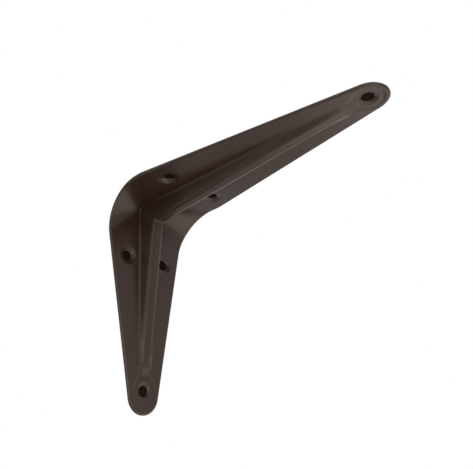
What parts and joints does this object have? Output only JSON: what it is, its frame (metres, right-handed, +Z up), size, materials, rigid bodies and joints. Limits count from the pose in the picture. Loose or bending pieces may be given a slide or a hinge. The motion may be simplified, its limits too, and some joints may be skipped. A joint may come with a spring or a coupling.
{
  "type": "shelf bracket",
  "caption": "Pressed sheet-steel shelf bracket: a tapered strip bent to an L, stiffened by a rib along its middle, with countersunk screw holes in both arms.",
  "frame": {"origin": "on the wall plane, midway between the two upper wall screw holes", "axes": "+X away from the wall along the arm, +Y across the strip, +Z up the wall towards the shelf"},
  "size_m": [0.1, 0.0376, 0.075],
  "materials": {
    "enamel": "dark brown stove enamel, semi-gloss"
  },
  "bodies": {
    "root": {"bracket": "enamel"}
  },
  "joints": []
}
